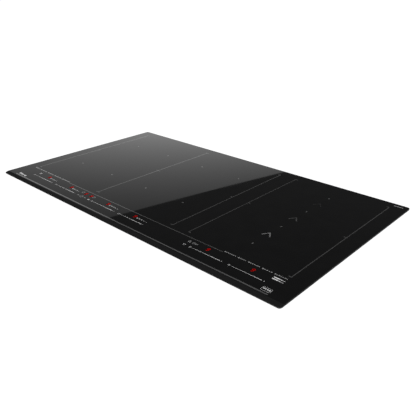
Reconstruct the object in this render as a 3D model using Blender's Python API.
"""Built-in induction hob, 90 cm wide, as an assembly of separate pieces.

Metres, +Z up. The origin is on the resting surface, under the middle of the glass.
+X runs to the right along the front edge of the glass and +Y runs to the back.
The stack, from the bottom: steel base pan with the electronics and two blowers, steel upper
frame with aluminium coil plates, coils, insulation mats, and the bonded glass on top.
"""

import math

import bmesh
import bpy
from mathutils import Matrix, Vector

GAP = 0.0003  # left between pieces that touch
LAP = 0.0004  # how far solids that are joined run into each other
PAST = 0.001  # how far a cutter runs past the face that it cuts
SAME_PLACE = 1e-6
CORNER_STEPS = 4  # segments in each rounded corner

# Glass
GLASS_WIDTH = 0.900
GLASS_DEPTH = 0.510
GLASS_THICK = 0.004
GLASS_TOP = 0.044  # the hob's overall height
GLASS_CORNER = 0.006
BEVEL_REACH = 0.011  # the front edge slopes down over this distance
BEVEL_DROP = 0.0022
ARRIS = 0.0004
GLASS_FRONT = -GLASS_DEPTH / 2
GLASS_BACK = GLASS_DEPTH / 2
GLASS_UNDER = GLASS_TOP - GLASS_THICK

# Foam seal under the rim of the glass
SEAL_INSET = 0.003
SEAL_WIDTH = 0.010
SEAL_THICK = 0.0022
SEAL_TOP = GLASS_UNDER - GAP

# Upper frame: a pressed tray with an outward flange that is bonded to the glass
FLANGE_X = 0.426
FLANGE_FRONT = -0.233
FLANGE_BACK = 0.241
FLANGE_WIDTH = 0.010
FRAME_SHEET = 0.001
FRAME_TOP = 0.0386
FRAME_FLOOR = 0.025  # underside of the tray's floor
WELL_X = 0.395  # opening in the tray's floor, under the coil plates
WELL_FRONT = -0.150
WELL_BACK = 0.205
RIB_X = 0.131  # the bar across the opening, under the joint of the two coil plates
RIB_WIDTH = 0.018
ADHESIVE_THICK = 0.0008

# Base pan
PAN_X = 0.400
PAN_FRONT = -0.200
PAN_BACK = 0.208
PAN_FLANGE = 0.014
PAN_SHEET = 0.0012
PAN_TOP = FRAME_FLOOR - GAP
PAN_FLANGE_SHEET = 0.001
PAN_FLANGE_UNDER = PAN_TOP - PAN_FLANGE_SHEET
PAN_CHAMFER = 0.012  # the front and side walls lean in below this height
PAN_CORNER = 0.012

# Coils
ZONE_COLUMNS = (-0.2820, -0.0190, 0.2872)
ZONE_ROWS = (-0.0710, 0.1282)
COIL_LENGTH = 0.232
COIL_DEPTH = 0.178
COIL_CORNER = 0.070
COIL_HOLE_LENGTH = 0.086
COIL_HOLE_DEPTH = 0.040
COIL_HOLE_CORNER = 0.0195
COIL_STEPS = 5
PLATE_LOW = 0.0263
PLATE_HIGH = 0.0275
CARRIER_LOW = 0.0278
CARRIER_HIGH = 0.0324
WINDING_LOW = 0.0327
WINDING_HIGH = 0.0371
MAT_LOW = 0.0374
MAT_HIGH = 0.0395
SENSOR_RADIUS = 0.006
SENSOR_HOLE = 0.008
SENSOR_LOW = 0.0285
SENSOR_HIGH = 0.0396

# Touch control unit behind the front edge
CONTROL_X_LOW = -0.398
CONTROL_X_HIGH = 0.404
CONTROL_FRONT = -0.219
CONTROL_BACK = -0.164
HOLDER_LOW = 0.0263
HOLDER_HIGH = 0.0295
BOARD_LOW = 0.0298
BOARD_HIGH = 0.0314
DISPLAY_Y = -0.196
DISPLAY_DEPTH = 0.020
DISPLAY_WIDTH = 0.014
TIMER_WIDTH = 0.036
DISPLAY_LOW = 0.0317
DISPLAY_HIGH = 0.0389
ZONE_DISPLAY_X = (-0.3215, -0.2222, -0.0737, 0.0222, 0.2394, 0.3498)
TIMER_X = -0.1496

# Electronics and blowers in the pan
ELECTRONICS_X = 0.262  # centre of each power board and blower, left and right
POWER_BOARD_WIDTH = 0.240
POWER_BOARD_FRONT = -0.180
POWER_BOARD_BACK = 0.060
POWER_BOARD_LOW = 0.006
CIRCUIT_BOARD = 0.0016
CAPACITOR_LENGTH = 0.032
CAPACITOR_WIDTH = 0.018
CAPACITOR_TOP = 0.0210
RELAY_LENGTH = 0.024
RELAY_WIDTH = 0.016
RELAY_TOP = 0.0190
COMPONENT_PITCH = 0.050
CHOKE_RADIUS = 0.016
CHOKE_TOP = 0.0215
CONNECTOR_WIDTH = 0.070
CONNECTOR_DEPTH = 0.010
CONNECTOR_TOP = 0.0160
POST_RADIUS = 0.0035
POST_INSET = 0.008
FILTER_BOX = (-0.100, 0.110, 0.020, 0.160)  # the filter board's limits in X and Y
FILTER_CHOKE_RADIUS = 0.020
FILTER_CHOKE_TOP = 0.0205
FILTER_RELAY = 0.040
FILTER_RELAY_TOP = 0.0180
SINK_WIDTH = 0.086
SINK_LENGTH = 0.150
SINK_BACK = 0.056
SINK_FINS = 9
SINK_FIN = 0.002
SINK_BASE = 0.003
SINK_TOP = 0.0225
FAN_Y = 0.130
FAN_SIZE = 0.110
FAN_LOW = 0.0022
FAN_HIGH = 0.0222
FAN_WALL = 0.0016
FAN_CHAMBER = 0.050
FAN_INTAKE = 0.033
FAN_OUTLET = 0.070
SHAFT_RADIUS = 0.002
ROTOR_BORE = 0.0023
ROTOR_RADIUS = 0.046
ROTOR_HUB = 0.014
ROTOR_LOW = 0.0050
ROTOR_HIGH = 0.0196
ROTOR_BLADES = 16
BLADE_ROOT = 0.034
BLADE_THICK = 0.0012
BLADE_LEAN = math.radians(24)

# Mains connection in the back wall
TERMINAL_X = -0.020
TERMINAL_WIDTH = 0.078
BEZEL_WIDTH = 0.108
BEZEL_LOW = 0.0022
BEZEL_HIGH = 0.0232
BEZEL_THICK = 0.002
WINDOW_WIDTH = 0.084
WINDOW_LOW = 0.0055
WINDOW_HIGH = 0.0180
COVER_WIDTH = 0.092
COVER_THICK = 0.002
COVER_LOW = 0.0035
HINGE_Z = 0.0208
HINGE_OUT = 0.0042  # hinge axis behind the pan's back wall
PIN_RADIUS = 0.0008
PIN_BORE = 0.0011
KNUCKLE_RADIUS = 0.0020
INLET_X = 0.075
INLET_Z = 0.0125
INLET_BORE = 0.0065
INLET_WALL = 0.0085
INLET_LIP = 0.0100

# Worktop clamps
CLAMP_X = 0.300
CLAMP_FRONT_Y = -0.2075
CLAMP_BACK_Y = 0.2155
CLAMP_REACH = 0.046
CLAMP_WIDTH = 0.012
ARM_LOW = 0.0153
ARM_HIGH = 0.0173
CLAMP_SCREW = 0.0020
SCREW_TIP = PLATE_LOW - GAP
CLAMP_BORE = 0.0023
CLAMP_SLEEVE = 0.0045
FRAME_SCREW = 0.0015
FRAME_SCREW_HOLE = 0.0018
FRAME_SCREW_X = 0.407
FRAME_SCREW_Y = 0.010


def clear_scene():
    for item in list(bpy.data.objects):
        bpy.data.objects.remove(item)


def finish(name, colour, roughness, metallic=0.0):
    """A Principled material of one colour."""
    material = bpy.data.materials.new(name)
    material.use_nodes = True
    shader = material.node_tree.nodes["Principled BSDF"]
    shader.inputs["Base Color"].default_value = (*colour, 1.0)
    shader.inputs["Roughness"].default_value = roughness
    shader.inputs["Metallic"].default_value = metallic
    return material


# Outlines: lists of (x, y) points, counter-clockwise


def rounded(x_low, x_high, y_low, y_high, radius, steps=CORNER_STEPS):
    corners = (
        (x_high - radius, y_low + radius, -90),
        (x_high - radius, y_high - radius, 0),
        (x_low + radius, y_high - radius, 90),
        (x_low + radius, y_low + radius, 180),
    )
    points = []
    for x, y, start in corners:
        for step in range(steps + 1):
            angle = math.radians(start + 90 * step / steps)
            points.append((x + radius * math.cos(angle), y + radius * math.sin(angle)))
    return points


def rectangle(x_low, x_high, y_low, y_high):
    return [(x_low, y_low), (x_high, y_low), (x_high, y_high), (x_low, y_high)]


def circle(x, y, radius, sides=16):
    angles = [2 * math.pi * (i + 0.5) / sides for i in range(sides)]
    return [(x + radius * math.cos(a), y + radius * math.sin(a)) for a in angles]


# Solids, added to a bmesh

ALONG = {
    "X": Matrix(((0, 0, 1), (1, 0, 0), (0, 1, 0))),  # outline in Y and Z
    "Y": Matrix(((1, 0, 0), (0, 0, -1), (0, 1, 0))),  # outline in X and Z
    "Z": Matrix.Identity(3),
}


def prism(bm, outline, low, high, holes=(), along="Z"):
    """An outline with holes, filled and extruded from low to high along one axis."""
    start, end = (-high, -low) if along == "Y" else (low, high)
    edges = []
    made = []
    for loop in (outline, *holes):
        ring = [bm.verts.new((x, y, start)) for x, y in loop]
        edges += [bm.edges.new(pair) for pair in zip(ring, ring[1:] + ring[:1])]
        made += ring
    filled = bmesh.ops.triangle_fill(bm, edges=edges, use_beauty=True)["geom"]
    faces = [item for item in filled if isinstance(item, bmesh.types.BMFace)]
    grown = bmesh.ops.extrude_face_region(bm, geom=faces)["geom"]
    lifted = [item for item in grown if isinstance(item, bmesh.types.BMVert)]
    bmesh.ops.translate(bm, vec=(0, 0, end - start), verts=lifted)
    made += lifted
    bmesh.ops.transform(bm, matrix=ALONG[along].to_4x4(), verts=made)
    return made


def block(bm, x_low, x_high, y_low, y_high, z_low, z_high):
    return prism(bm, rectangle(x_low, x_high, y_low, y_high), z_low, z_high)


def loft(bm, loops, closed=False):
    """Joins loops of equal length, with end faces unless the profile closes on itself."""
    rings = [[bm.verts.new(point) for point in loop] for loop in loops]
    following = rings[1:] + rings[:1] if closed else rings[1:]
    for lower, upper in zip(rings, following):
        turned = zip(lower, lower[1:] + lower[:1], upper[1:] + upper[:1], upper)
        for corners in turned:
            bm.faces.new(corners)
    if not closed:
        bm.faces.new(rings[0])
        bm.faces.new(rings[-1])


def at_height(outline, z):
    return [(x, y, z) for x, y in outline]


# Objects


def piece(name, bm, material, origin=(0, 0, 0)):
    """Makes the object of one piece, with its own origin, from a mesh in world positions."""
    bmesh.ops.recalc_face_normals(bm, faces=bm.faces)
    bmesh.ops.translate(bm, vec=-Vector(origin), verts=bm.verts)
    mesh = bpy.data.meshes.new(name)
    bm.to_mesh(mesh)
    bm.free()
    if material is not None:
        mesh.materials.append(material)
    mesh.shade_smooth()
    mesh.set_sharp_from_angle(angle=math.radians(35))
    made = bpy.data.objects.new(name, mesh)
    made.location = origin
    bpy.context.scene.collection.objects.link(made)
    return made


def helper(name, bm, target, operation):
    """A guide solid that is cut from the target or joined to it."""
    guide = piece(name, bm, None)
    guide.hide_render = True
    guide.display_type = "WIRE"
    step = target.modifiers.new(name, "BOOLEAN")
    step.operation = operation
    step.object = guide
    return guide


def cut(target, bm):
    return helper(f"cut_{target.name}", bm, target, "DIFFERENCE")


def join(target, bm):
    return helper(f"join_{target.name}", bm, target, "UNION")


def screw(name, x, y, shank, head, z_head, z_tip, head_height, material):
    """A vertical screw put in from below, with a hexagon recess in its head."""
    bm = bmesh.new()
    profile = (
        (head, z_head),
        (head, z_head + head_height),
        (shank, z_head + head_height),
        (shank, z_tip),
    )
    loft(bm, [at_height(circle(x, y, radius, 12), z) for radius, z in profile])
    made = piece(name, bm, material, (x, y, z_head))
    recess = bmesh.new()
    prism(recess, circle(x, y, head * 0.5, 6), z_head - PAST, z_head + head_height * 0.6)
    cut(made, recess)
    return made


# The glass and what bonds and seals it


def make_glass(material):
    half = GLASS_WIDTH / 2
    bend = GLASS_FRONT + BEVEL_REACH
    outline = rounded(-half, half, GLASS_FRONT, GLASS_BACK, GLASS_CORNER)
    right = outline.index(max(outline, key=lambda p: (p[0], -p[1])))
    outline.insert(right + 1, (half, bend))
    left = outline.index(min(outline, key=lambda p: (p[0], p[1])))
    outline.insert(left, (-half, bend))
    bm = bmesh.new()
    prism(bm, outline, GLASS_UNDER, GLASS_TOP)
    above = [face for face in bm.faces if face.calc_center_median().z > GLASS_TOP - GAP]
    seam = bmesh.ops.dissolve_faces(bm, faces=above)["region"]
    ends = [vert for vert in seam[0].verts if abs(vert.co.y - bend) < SAME_PLACE]
    bmesh.ops.connect_verts(bm, verts=ends)
    for vert in bm.verts:
        if vert.co.z > GLASS_TOP - GAP and vert.co.y < bend:
            vert.co.z -= BEVEL_DROP * (bend - vert.co.y) / BEVEL_REACH
    glass = piece("glass_top", bm, material)
    edge = glass.modifiers.new("arris", "BEVEL")
    edge.width = ARRIS
    edge.segments = 1
    edge.limit_method = "ANGLE"
    edge.angle_limit = math.radians(50)
    return glass


def make_ring(name, material, box, width, low, high, radius):
    """A flat ring that follows a rounded rectangle."""
    x_low, x_high, y_low, y_high = box
    outer = rounded(x_low, x_high, y_low, y_high, radius)
    inner = rounded(
        x_low + width, x_high - width, y_low + width, y_high - width, radius
    )
    bm = bmesh.new()
    loops = (
        at_height(outer, low),
        at_height(outer, high),
        at_height(inner, high),
        at_height(inner, low),
    )
    loft(bm, loops, closed=True)
    return piece(name, bm, material)


def make_seal(material):
    half_x = GLASS_WIDTH / 2 - SEAL_INSET
    half_y = GLASS_DEPTH / 2 - SEAL_INSET
    box = (-half_x, half_x, -half_y, half_y)
    low = SEAL_TOP - SEAL_THICK
    return make_ring("perimeter_seal", material, box, SEAL_WIDTH, low, SEAL_TOP, 0.004)


def make_adhesive(material):
    inset = 0.0015
    box = (
        -FLANGE_X + inset,
        FLANGE_X - inset,
        FLANGE_FRONT + inset,
        FLANGE_BACK - inset,
    )
    high = GLASS_UNDER - GAP
    low = high - ADHESIVE_THICK
    return make_ring(
        "glass_adhesive", material, box, FLANGE_WIDTH - 2 * inset, low, high, 0.010
    )


# Sheet-metal housing


def screw_holes(bm):
    """Cutters for the screws that pass through the pan's flange and the frame's floor."""
    low, high = PAN_FLANGE_UNDER - 0.002, FRAME_FLOOR + 0.003
    for x, y in clamp_places():
        prism(bm, circle(x, y, CLAMP_BORE, 10), low, high)
    for side in (-1, 1):
        prism(
            bm,
            circle(side * FRAME_SCREW_X, FRAME_SCREW_Y, FRAME_SCREW_HOLE, 10),
            low,
            high,
        )


def make_frame(material):
    flange = (-FLANGE_X, FLANGE_X, FLANGE_FRONT, FLANGE_BACK)
    wall = inset_box(flange, FLANGE_WIDTH)
    inside = inset_box(wall, FRAME_SHEET)
    well = (-WELL_X, WELL_X, WELL_FRONT, WELL_BACK)
    steps = (
        (flange, 0.012, FRAME_TOP - FRAME_SHEET),
        (wall, 0.012, FRAME_TOP - FRAME_SHEET),
        (wall, 0.012, FRAME_FLOOR),
        (well, 0.012, FRAME_FLOOR),
        (well, 0.012, FRAME_FLOOR + FRAME_SHEET),
        (inside, 0.011, FRAME_FLOOR + FRAME_SHEET),
        (inside, 0.011, FRAME_TOP),
        (flange, 0.012, FRAME_TOP),
    )
    bm = bmesh.new()
    loops = [at_height(rounded(*box, radius), z) for box, radius, z in steps]
    loft(bm, loops, closed=True)
    frame = piece("upper_frame", bm, material)
    bar = bmesh.new()
    half = RIB_WIDTH / 2
    lap = 0.004
    block(
        bar,
        RIB_X - half,
        RIB_X + half,
        WELL_FRONT - lap,
        WELL_BACK + lap,
        FRAME_FLOOR + 0.0001,
        FRAME_FLOOR + FRAME_SHEET - 0.0001,
    )
    join(frame, bar)
    holes = bmesh.new()
    screw_holes(holes)
    cut(frame, holes)
    return frame


def inset_box(box, distance):
    x_low, x_high, y_low, y_high = box
    return (x_low + distance, x_high - distance, y_low + distance, y_high - distance)


def make_pan(material):
    wall = (-PAN_X, PAN_X, PAN_FRONT, PAN_BACK)
    flange = inset_box(wall, -PAN_FLANGE)
    inside = inset_box(wall, PAN_SHEET)
    foot = (
        -PAN_X + PAN_CHAMFER,
        PAN_X - PAN_CHAMFER,
        PAN_FRONT + PAN_CHAMFER,
        PAN_BACK,
    )
    inner_foot = inset_box(foot, PAN_SHEET)
    slope_top = PAN_CHAMFER + PAN_SHEET * 0.5
    steps = (
        (foot, PAN_CORNER, 0.0),
        (wall, PAN_CORNER, PAN_CHAMFER),
        (wall, PAN_CORNER, PAN_FLANGE_UNDER),
        (flange, PAN_CORNER, PAN_FLANGE_UNDER),
        (flange, PAN_CORNER, PAN_TOP),
        (inside, PAN_CORNER - PAN_SHEET, PAN_TOP),
        (inside, PAN_CORNER - PAN_SHEET, slope_top),
        (inner_foot, PAN_CORNER - PAN_SHEET, PAN_SHEET),
    )
    bm = bmesh.new()
    loft(bm, [at_height(rounded(*box, radius), z) for box, radius, z in steps])
    pan = piece("base_pan", bm, material)
    openings = bmesh.new()
    screw_holes(openings)
    cut_vents(openings)
    window = rectangle(
        TERMINAL_X - WINDOW_WIDTH / 2,
        TERMINAL_X + WINDOW_WIDTH / 2,
        WINDOW_LOW,
        WINDOW_HIGH,
    )
    past = (PAN_BACK - 0.004, PAN_BACK + 0.004)
    prism(openings, window, *past, along="Y")
    prism(
        openings, circle(INLET_X, INLET_Z, INLET_WALL + GAP, 20), *past, along="Y"
    )
    cut(pan, openings)
    return pan


def cut_vents(bm):
    """Intake slots under each blower, and outlet slots in the front and back walls."""
    slot_pitch = 0.009
    slot_half = 0.002
    for side in (-1, 1):
        for row in range(-3, 4):
            y = FAN_Y + row * slot_pitch
            reach = math.sqrt((FAN_INTAKE - 0.001) ** 2 - (row * slot_pitch) ** 2)
            x = side * ELECTRONICS_X
            block(bm, x - reach, x + reach, y - slot_half, y + slot_half, -0.002, 0.004)
        for column in range(-5, 6):
            x = side * ELECTRONICS_X + column * 0.018
            outline = rectangle(x - 0.006, x + 0.006, 0.0150, 0.0200)
            prism(bm, outline, PAN_FRONT - 0.004, PAN_FRONT + 0.004, along="Y")


# Coils under the glass


def zone_centres():
    return [(x, y) for x in ZONE_COLUMNS for y in ZONE_ROWS]


def plate_spans():
    """Left and right limits of the two coil plates."""
    edge = FLANGE_X - FLANGE_WIDTH - FRAME_SHEET - GAP * 3
    return {"left": (-edge, RIB_X - GAP), "right": (RIB_X + GAP, edge)}


def make_coil_plates(plate_material, mat_material):
    front = CONTROL_BACK + 0.004
    back = FLANGE_BACK - FLANGE_WIDTH - FRAME_SHEET - GAP * 3
    for side, (x_low, x_high) in plate_spans().items():
        inside = [(x, y) for x, y in zone_centres() if x_low < x < x_high]
        bm = bmesh.new()
        outline = rounded(x_low, x_high, front, back, 0.008, 2)
        holes = [circle(x, y, 0.022, 16) for x, y in inside]
        prism(bm, outline, PLATE_LOW, PLATE_HIGH, holes)
        piece(f"coil_plate_{side}", bm, plate_material)
        bm = bmesh.new()
        outline = rounded(x_low + 0.006, x_high - 0.006, front + 0.004, back - 0.006, 0.008, 2)
        holes = [circle(x, y, SENSOR_HOLE, 12) for x, y in inside]
        prism(bm, outline, MAT_LOW, MAT_HIGH, holes)
        piece(f"insulation_mat_{side}", bm, mat_material)


def coil_outline(x, y, length, depth, corner):
    half_x, half_y = length / 2, depth / 2
    return rounded(
        x - half_x, x + half_x, y - half_y, y + half_y, corner, COIL_STEPS
    )


def carrier_pockets(x, y):
    """Windows between the six arms of a coil carrier."""
    pockets = []
    arms = 6
    half_gap = math.radians(18)
    for arm in range(arms):
        middle = 2 * math.pi * (arm + 0.5) / arms
        corners = (
            (0.34, middle - half_gap),
            (0.80, middle - half_gap),
            (0.80, middle + half_gap),
            (0.34, middle + half_gap),
        )
        pockets.append(
            [
                (
                    x + share * COIL_LENGTH / 2 * math.cos(angle),
                    y + share * COIL_DEPTH / 2 * math.sin(angle),
                )
                for share, angle in corners
            ]
        )
    return pockets


def make_coils(carrier_material, copper_material, sensor_material):
    for number, (x, y) in enumerate(zone_centres(), 1):
        bm = bmesh.new()
        outline = coil_outline(x, y, COIL_LENGTH, COIL_DEPTH, COIL_CORNER)
        holes = [circle(x, y, SENSOR_HOLE, 12), *carrier_pockets(x, y)]
        prism(bm, outline, CARRIER_LOW, CARRIER_HIGH, holes)
        piece(f"coil_carrier_{number}", bm, carrier_material)
        make_winding(f"coil_winding_{number}", x, y, copper_material)
        bm = bmesh.new()
        rim = circle(x, y, SENSOR_RADIUS, 12)
        prism(bm, rim, SENSOR_LOW, SENSOR_HIGH)
        piece(f"temperature_sensor_{number}", bm, sensor_material)


def make_winding(name, x, y, material):
    round_off = 0.0012
    length, depth = COIL_LENGTH - 0.006, COIL_DEPTH - 0.006
    outer = coil_outline(x, y, length, depth, COIL_CORNER)
    outer_top = coil_outline(
        x, y, length - 2 * round_off, depth - 2 * round_off, COIL_CORNER - round_off
    )
    inner = coil_outline(x, y, COIL_HOLE_LENGTH, COIL_HOLE_DEPTH, COIL_HOLE_CORNER)
    loops = (
        at_height(outer, WINDING_LOW),
        at_height(outer, WINDING_HIGH - round_off),
        at_height(outer_top, WINDING_HIGH),
        at_height(inner, WINDING_HIGH),
        at_height(inner, WINDING_LOW),
    )
    bm = bmesh.new()
    loft(bm, loops, closed=True)
    piece(name, bm, material)


# Touch control unit


def make_controls(holder_material, board_material, display_material):
    bm = bmesh.new()
    outline = rounded(CONTROL_X_LOW, CONTROL_X_HIGH, CONTROL_FRONT, CONTROL_BACK, 0.004, 2)
    margin = 0.008
    bays = 6
    bay = (CONTROL_X_HIGH - CONTROL_X_LOW - margin) / bays
    windows = []
    for number in range(bays):
        start = CONTROL_X_LOW + margin + number * bay
        windows.append(
            rectangle(
                start,
                start + bay - margin,
                CONTROL_FRONT + margin,
                CONTROL_BACK - margin,
            )
        )
    prism(bm, outline, HOLDER_LOW, HOLDER_HIGH, windows)
    piece("control_holder", bm, holder_material)
    bm = bmesh.new()
    prism(bm, outline, BOARD_LOW, BOARD_HIGH)
    piece("control_board", bm, board_material)
    for number, x in enumerate(ZONE_DISPLAY_X, 1):
        make_display(f"zone_display_{number}", x, DISPLAY_WIDTH, display_material)
    make_display("timer_display", TIMER_X, TIMER_WIDTH, display_material)


def make_display(name, x, width, material):
    bm = bmesh.new()
    block(
        bm,
        x - width / 2,
        x + width / 2,
        DISPLAY_Y - DISPLAY_DEPTH / 2,
        DISPLAY_Y + DISPLAY_DEPTH / 2,
        DISPLAY_LOW,
        DISPLAY_HIGH,
    )
    piece(name, bm, material)


# Power electronics


def board_posts(bm, box):
    """Four posts that hold a board above the floor of the pan."""
    x_low, x_high, y_low, y_high = inset_box(box, POST_INSET)
    top = POWER_BOARD_LOW + CIRCUIT_BOARD + PAST
    for x in (x_low, x_high):
        for y in (y_low, y_high):
            prism(bm, circle(x, y, POST_RADIUS, 8), PAN_SHEET + GAP, top)


def box_around(x, y, length, width):
    return (x - length / 2, x + length / 2, y - width / 2, y + width / 2)


def make_power_board(side_name, side, board_material, sink_material):
    x = side * ELECTRONICS_X
    half = POWER_BOARD_WIDTH / 2
    box = (x - half, x + half, POWER_BOARD_FRONT, POWER_BOARD_BACK)
    top = POWER_BOARD_LOW + CIRCUIT_BOARD
    bm = bmesh.new()
    block(bm, *box, POWER_BOARD_LOW, top)
    board = piece(f"power_board_{side_name}", bm, board_material)
    parts = bmesh.new()
    low = top - LAP
    for row in range(3):
        y = POWER_BOARD_FRONT + 0.030 + row * COMPONENT_PITCH
        outline = box_around(x - half + 0.026, y, CAPACITOR_LENGTH, CAPACITOR_WIDTH)
        prism(parts, rounded(*outline, 0.003, 1), low, CAPACITOR_TOP)
        outline = box_around(x + half - 0.024, y, RELAY_LENGTH, RELAY_WIDTH)
        block(parts, *outline, low, RELAY_TOP)
    choke = circle(x + half - 0.028, POWER_BOARD_BACK - 0.030, CHOKE_RADIUS, 12)
    prism(parts, choke, low, CHOKE_TOP)
    connector = box_around(x, POWER_BOARD_FRONT + 0.011, CONNECTOR_WIDTH, CONNECTOR_DEPTH)
    block(parts, *connector, low, CONNECTOR_TOP)
    board_posts(parts, box)
    join(board, parts)
    make_heatsink(f"heatsink_{side_name}", x, top + GAP, sink_material)


def make_heatsink(name, x, low, material):
    """An extruded comb: fins point up and the air runs along them."""
    pitch = (SINK_WIDTH - SINK_FIN) / (SINK_FINS - 1)
    left = x - SINK_WIDTH / 2
    profile = [(left, low), (left + SINK_WIDTH, low)]
    for number in reversed(range(SINK_FINS)):
        start = left + number * pitch
        profile += [(start + SINK_FIN, SINK_TOP), (start, SINK_TOP)]
        if number:
            floor = low + SINK_BASE
            profile += [(start, floor), (start - pitch + SINK_FIN, floor)]
    bm = bmesh.new()
    prism(bm, profile, SINK_BACK - SINK_LENGTH, SINK_BACK, along="Y")
    piece(name, bm, material)


def make_filter_board(board_material):
    top = POWER_BOARD_LOW + CIRCUIT_BOARD
    low = top - LAP
    bm = bmesh.new()
    block(bm, *FILTER_BOX, POWER_BOARD_LOW, top)
    board = piece("filter_board", bm, board_material)
    parts = bmesh.new()
    for x in (-0.060, 0.010):
        prism(parts, circle(x, 0.060, FILTER_CHOKE_RADIUS, 14), low, FILTER_CHOKE_TOP)
    for x in (-0.055, 0.005):
        outline = box_around(x, 0.115, 0.040, 0.020)
        prism(parts, rounded(*outline, 0.003, 1), low, CHOKE_TOP)
    block(parts, *box_around(0.075, 0.060, FILTER_RELAY, FILTER_RELAY), low, FILTER_RELAY_TOP)
    board_posts(parts, FILTER_BOX)
    join(board, parts)


# Blowers


def make_blower(side_name, side, housing_material, rotor_material):
    x = side * ELECTRONICS_X
    half = FAN_SIZE / 2
    bm = bmesh.new()
    outline = rounded(x - half, x + half, FAN_Y - half, FAN_Y + half, 0.020, 3)
    prism(bm, outline, FAN_LOW, FAN_HIGH)
    housing = piece(f"fan_housing_{side_name}", bm, housing_material)
    hollow = bmesh.new()
    chamber = circle(x, FAN_Y, FAN_CHAMBER, 28)
    prism(hollow, chamber, FAN_LOW + FAN_WALL, FAN_HIGH - FAN_WALL)
    cut(housing, hollow)
    ways = bmesh.new()
    prism(ways, circle(x, FAN_Y, FAN_INTAKE, 20), FAN_LOW - PAST, FAN_LOW + FAN_WALL + PAST)
    cut(housing, ways)
    outlet = bmesh.new()
    mouth = rectangle(
        x - FAN_OUTLET / 2,
        x + FAN_OUTLET / 2,
        FAN_LOW + FAN_WALL + LAP,
        FAN_HIGH - FAN_WALL - LAP,
    )
    prism(outlet, mouth, FAN_Y - half - 0.002, FAN_Y - FAN_CHAMBER * 0.6, along="Y")
    cut(housing, outlet)
    shaft = bmesh.new()
    shaft_top = FAN_HIGH - FAN_WALL + LAP
    prism(shaft, circle(x, FAN_Y, SHAFT_RADIUS, 12), ROTOR_LOW + 0.001, shaft_top)
    join(housing, shaft)
    make_rotor(f"fan_rotor_{side_name}", x, rotor_material)


def make_rotor(name, x, material):
    """Hub, back plate and lower rim, joined by leaning blades."""
    bm = bmesh.new()
    plate_low = ROTOR_HIGH - 0.0014
    prism(
        bm,
        circle(x, FAN_Y, ROTOR_RADIUS, 32),
        plate_low,
        ROTOR_HIGH,
        [circle(x, FAN_Y, ROTOR_BORE, 12)],
    )
    rotor = piece(name, bm, material, (x, FAN_Y, ROTOR_LOW))
    parts = bmesh.new()
    prism(
        parts,
        circle(x, FAN_Y, ROTOR_HUB, 16),
        ROTOR_LOW + 0.003,
        ROTOR_HIGH - LAP,
        [circle(x, FAN_Y, ROTOR_BORE, 12)],
    )
    join(rotor, parts)
    blades = bmesh.new()
    reach = ROTOR_RADIUS - 0.0012 - BLADE_ROOT
    for number in range(ROTOR_BLADES):
        made = prism(
            blades,
            rectangle(0, reach, -BLADE_THICK / 2, BLADE_THICK / 2),
            ROTOR_LOW,
            ROTOR_HIGH - LAP,
        )
        turn = Matrix.Rotation(2 * math.pi * number / ROTOR_BLADES, 4, "Z")
        lean = Matrix.Translation((BLADE_ROOT, 0, 0)) @ Matrix.Rotation(BLADE_LEAN, 4, "Z")
        place = Matrix.Translation((x, FAN_Y, 0)) @ turn @ lean
        bmesh.ops.transform(blades, matrix=place, verts=made)
    join(rotor, blades)


# Mains connection


def make_terminal(plastic, cover_plastic, steel, rubber):
    left = TERMINAL_X - TERMINAL_WIDTH / 2
    low, high = 0.0040, 0.0190
    front, back = 0.184, PAN_BACK - PAN_SHEET - 0.004
    bm = bmesh.new()
    block(bm, left, left + TERMINAL_WIDTH, front, back, low, high)
    terminal = piece("terminal_block", bm, plastic)
    wells = bmesh.new()
    poles = 6
    pitch = TERMINAL_WIDTH / poles
    for pole in range(poles):
        x = left + (pole + 0.5) * pitch
        prism(wells, circle(x, (front + back) / 2, 0.0030, 8), high - 0.005, high + PAST)
        mouth = rectangle(x - 0.0035, x + 0.0035, 0.0070, 0.0120)
        prism(wells, mouth, back - 0.006, back + PAST, along="Y")
    cut(terminal, wells)
    make_bezel(plastic)
    make_cover(cover_plastic, steel)
    make_inlet(rubber)


def make_bezel(material):
    outside = PAN_BACK + GAP
    half = BEZEL_WIDTH / 2
    window = rectangle(
        TERMINAL_X - WINDOW_WIDTH / 2,
        TERMINAL_X + WINDOW_WIDTH / 2,
        WINDOW_LOW,
        WINDOW_HIGH,
    )
    outline = rounded(TERMINAL_X - half, TERMINAL_X + half, BEZEL_LOW, BEZEL_HIGH, 0.003, 2)
    bm = bmesh.new()
    prism(bm, outline, outside, outside + BEZEL_THICK, [window], along="Y")
    bezel = piece("terminal_bezel", bm, material)
    ears = bmesh.new()
    axis_y = PAN_BACK + HINGE_OUT
    for side in (-1, 1):
        near = TERMINAL_X + side * (COVER_WIDTH / 2 + 0.0005)
        far = TERMINAL_X + side * (COVER_WIDTH / 2 + 0.0045)
        outline = rectangle(
            outside + BEZEL_THICK - 0.0003, axis_y + 0.0020, HINGE_Z - 0.0020, HINGE_Z + 0.0020
        )
        bore = circle(axis_y, HINGE_Z, PIN_BORE, 8)
        prism(ears, outline, min(near, far), max(near, far), [bore], along="X")
    join(bezel, ears)


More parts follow.
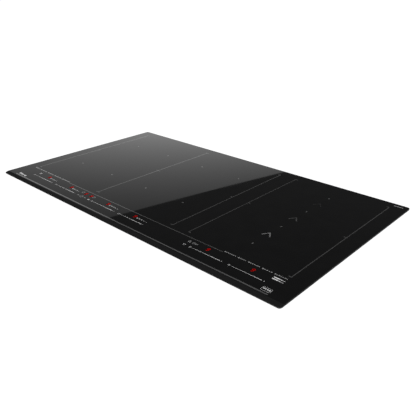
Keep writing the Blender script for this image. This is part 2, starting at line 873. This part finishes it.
def make_cover(plastic, steel):
    half = COVER_WIDTH / 2
    axis_y = PAN_BACK + HINGE_OUT
    rear = PAN_BACK + GAP + BEZEL_THICK + GAP
    origin = (TERMINAL_X, axis_y, HINGE_Z)
    bm = bmesh.new()
    bore = circle(axis_y, HINGE_Z, PIN_BORE, 8)
    knuckle = circle(axis_y, HINGE_Z, KNUCKLE_RADIUS - 0.0003, 12)
    prism(bm, knuckle, TERMINAL_X - half, TERMINAL_X + half, [bore], along="X")
    cover = piece("terminal_cover", bm, plastic, origin)
    leaf = bmesh.new()
    outline = rectangle(rear, rear + COVER_THICK, COVER_LOW, HINGE_Z - PIN_BORE - 0.0001)
    prism(leaf, outline, TERMINAL_X - half, TERMINAL_X + half, along="X")
    join(cover, leaf)
    grip = bmesh.new()
    lip = rectangle(TERMINAL_X - 0.012, TERMINAL_X + 0.012, COVER_LOW + 0.0005, COVER_LOW + 0.0025)
    prism(grip, lip, rear + COVER_THICK - LAP, rear + COVER_THICK + 0.0022, along="Y")
    join(cover, grip)
    bm = bmesh.new()
    reach = half + 0.0043
    prism(
        bm, circle(axis_y, HINGE_Z, PIN_RADIUS, 8), TERMINAL_X - reach, TERMINAL_X + reach, along="X"
    )
    piece("hinge_pin", bm, steel)


def make_inlet(rubber):
    """A grommet with a groove that holds the pan's back wall."""
    outline = circle(0, 0, 1, 20)
    inside = PAN_BACK - PAN_SHEET
    profile = (
        (INLET_BORE, inside - 0.004),
        (INLET_WALL, inside - 0.004),
        (INLET_WALL, PAN_BACK + GAP),
        (INLET_LIP, PAN_BACK + GAP),
        (INLET_LIP - 0.001, PAN_BACK + 0.0035),
        (INLET_BORE, PAN_BACK + 0.0035),
    )
    loops = [
        [(INLET_X + r * px, y, INLET_Z + r * pz) for px, pz in outline]
        for r, y in profile
    ]
    bm = bmesh.new()
    loft(bm, loops, closed=True)
    piece("cable_grommet", bm, rubber)


# Fixings


def clamp_places():
    return [(x, y) for y in (CLAMP_FRONT_Y, CLAMP_BACK_Y) for x in (-CLAMP_X, CLAMP_X)]


def make_clamps(steel, screw_steel):
    names = ("front_left", "front_right", "back_left", "back_right")
    for name, (x, y) in zip(names, clamp_places()):
        towards_middle = 1 if x < 0 else -1
        half = CLAMP_WIDTH / 2
        ends = sorted((x - towards_middle * half, x + towards_middle * CLAMP_REACH))
        bore = circle(x, y, CLAMP_BORE, 10)
        bm = bmesh.new()
        arm = rounded(*ends, y - half, y + half, 0.004, 2)
        prism(bm, arm, ARM_LOW, ARM_HIGH, [bore])
        clamp = piece(f"fixing_clamp_{name}", bm, steel, (x, y, ARM_LOW))
        sleeve = bmesh.new()
        top = PAN_FLANGE_UNDER - GAP
        prism(sleeve, circle(x, y, CLAMP_SLEEVE, 12), ARM_HIGH - LAP, top, [bore])
        tip = sorted(
            (
                x + towards_middle * (CLAMP_REACH - 0.006),
                x + towards_middle * (CLAMP_REACH - 0.0025),
            )
        )
        side = half - 0.001
        block(sleeve, *tip, y - side, y + side, ARM_HIGH - LAP, ARM_HIGH + 0.002)
        join(clamp, sleeve)
        screw(
            f"clamp_screw_{name}", x, y, CLAMP_SCREW, 0.0040, 0.0126, SCREW_TIP, 0.0024, screw_steel
        )
    for side, name in ((-1, "left"), (1, "right")):
        screw(
            f"frame_screw_{name}",
            side * FRAME_SCREW_X,
            FRAME_SCREW_Y,
            FRAME_SCREW,
            0.0032,
            PAN_FLANGE_UNDER - GAP - 0.0020,
            SCREW_TIP,
            0.0020,
            screw_steel,
        )


def build():
    clear_scene()
    galvanised = finish("galvanised_steel", (0.62, 0.63, 0.64), 0.38, 1.0)
    zinc = finish("zinc_steel", (0.68, 0.68, 0.66), 0.30, 1.0)
    aluminium = finish("aluminium", (0.80, 0.80, 0.81), 0.35, 1.0)
    black_plastic = finish("black_plastic", (0.02, 0.02, 0.02), 0.50)
    grey_plastic = finish("grey_plastic", (0.30, 0.30, 0.31), 0.55)
    rubber = finish("rubber", (0.03, 0.03, 0.03), 0.80)
    circuit = finish("circuit_board", (0.05, 0.20, 0.10), 0.45)
    make_glass(finish("glass_ceramic", (0.012, 0.012, 0.013), 0.05))
    make_seal(finish("foam", (0.03, 0.03, 0.03), 0.90))
    make_adhesive(finish("silicone", (0.02, 0.02, 0.02), 0.60))
    make_frame(galvanised)
    make_pan(galvanised)
    make_coil_plates(aluminium, finish("mica", (0.72, 0.69, 0.60), 0.70))
    make_coils(
        finish("carrier_plastic", (0.10, 0.10, 0.11), 0.60),
        finish("copper", (0.72, 0.38, 0.22), 0.35, 1.0),
        finish("sensor_ceramic", (0.85, 0.84, 0.80), 0.50),
    )
    make_controls(black_plastic, circuit, finish("display", (0.05, 0.01, 0.01), 0.25))
    for name, side in (("left", -1), ("right", 1)):
        make_power_board(name, side, circuit, aluminium)
        make_blower(name, side, black_plastic, grey_plastic)
    make_filter_board(circuit)
    make_terminal(black_plastic, grey_plastic, zinc, rubber)
    make_clamps(galvanised, zinc)


build()
